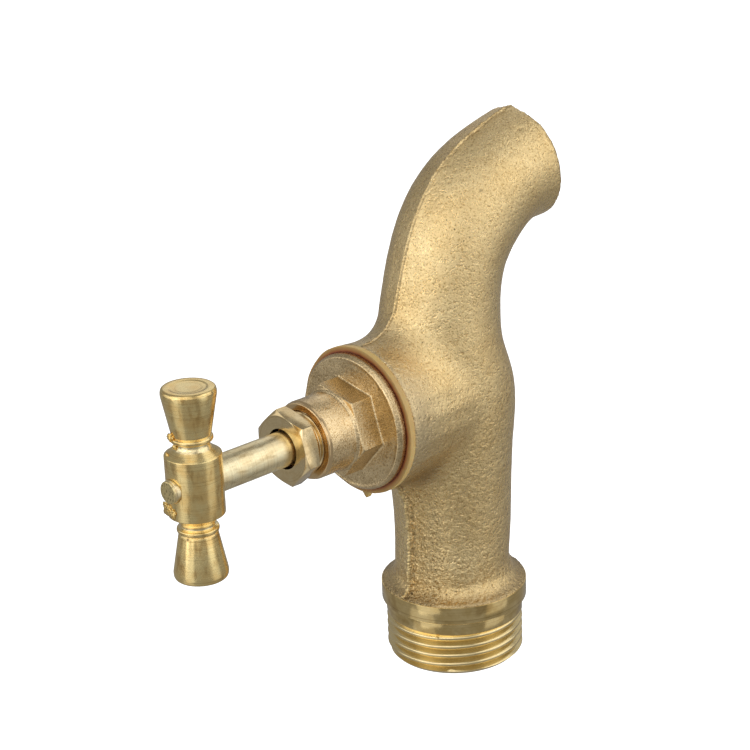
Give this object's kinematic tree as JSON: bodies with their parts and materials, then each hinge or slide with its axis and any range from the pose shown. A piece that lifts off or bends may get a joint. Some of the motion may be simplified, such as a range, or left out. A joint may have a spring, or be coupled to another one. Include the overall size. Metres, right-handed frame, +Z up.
{
  "type": "bib tap",
  "caption": "Raw brass screw-down bib tap with a threaded inlet, a down-turned spout, a hexagon bonnet and a turned tee handle on a rising spindle.",
  "frame": {"origin": "centre of the inlet, in the plane of the shoulder that stops against the wall", "axes": "+Y along the inlet's thread into the wall, +Z up along the spindle, so the spout runs out along -Y and turns down"},
  "size_m": [0.0356, 0.1316, 0.1122],
  "materials": {
    "cast_body": "sand-cast, lightly tumbled",
    "bonnet_brass": "cast and partly turned",
    "nut_brass": "machined and polished",
    "spindle_brass": "machined bright",
    "handle_brass": "turned bright",
    "turned_brass": "turned",
    "gasket": "pale yellow, translucent",
    "packing": "soft white ring",
    "seat_rubber": "matt black"
  },
  "bodies": {
    "tap_body": {"body": "cast_body", "bonnet_gasket": "gasket", "bonnet": "bonnet_brass", "packing_washer": "turned_brass", "packing_ring_lower": "packing", "packing_ring_upper": "packing", "gland_follower": "turned_brass", "gland_nut": "nut_brass"},
    "valve": {"jumper": "turned_brass", "seat_washer": "seat_rubber", "washer_nut": "turned_brass"},
    "spindle": {"spindle": "spindle_brass", "tee_handle": "handle_brass"}
  },
  "joints": [
    {"name": "valve_lift", "type": "slide", "parent": "tap_body", "child": "valve", "axis": [0, 0, 1], "range_m": [0, 0.006]},
    {"name": "spindle_turn", "type": "hinge", "parent": "valve", "child": "spindle", "pos_m": [0, -0.0541, 0.0768], "axis": [0, 0, 1], "range_deg": [0, 720]}
  ],
  "couplings": [
    {"joint": "valve_lift", "follows": "spindle_turn", "m_per_rad": 0.00047746}
  ]
}
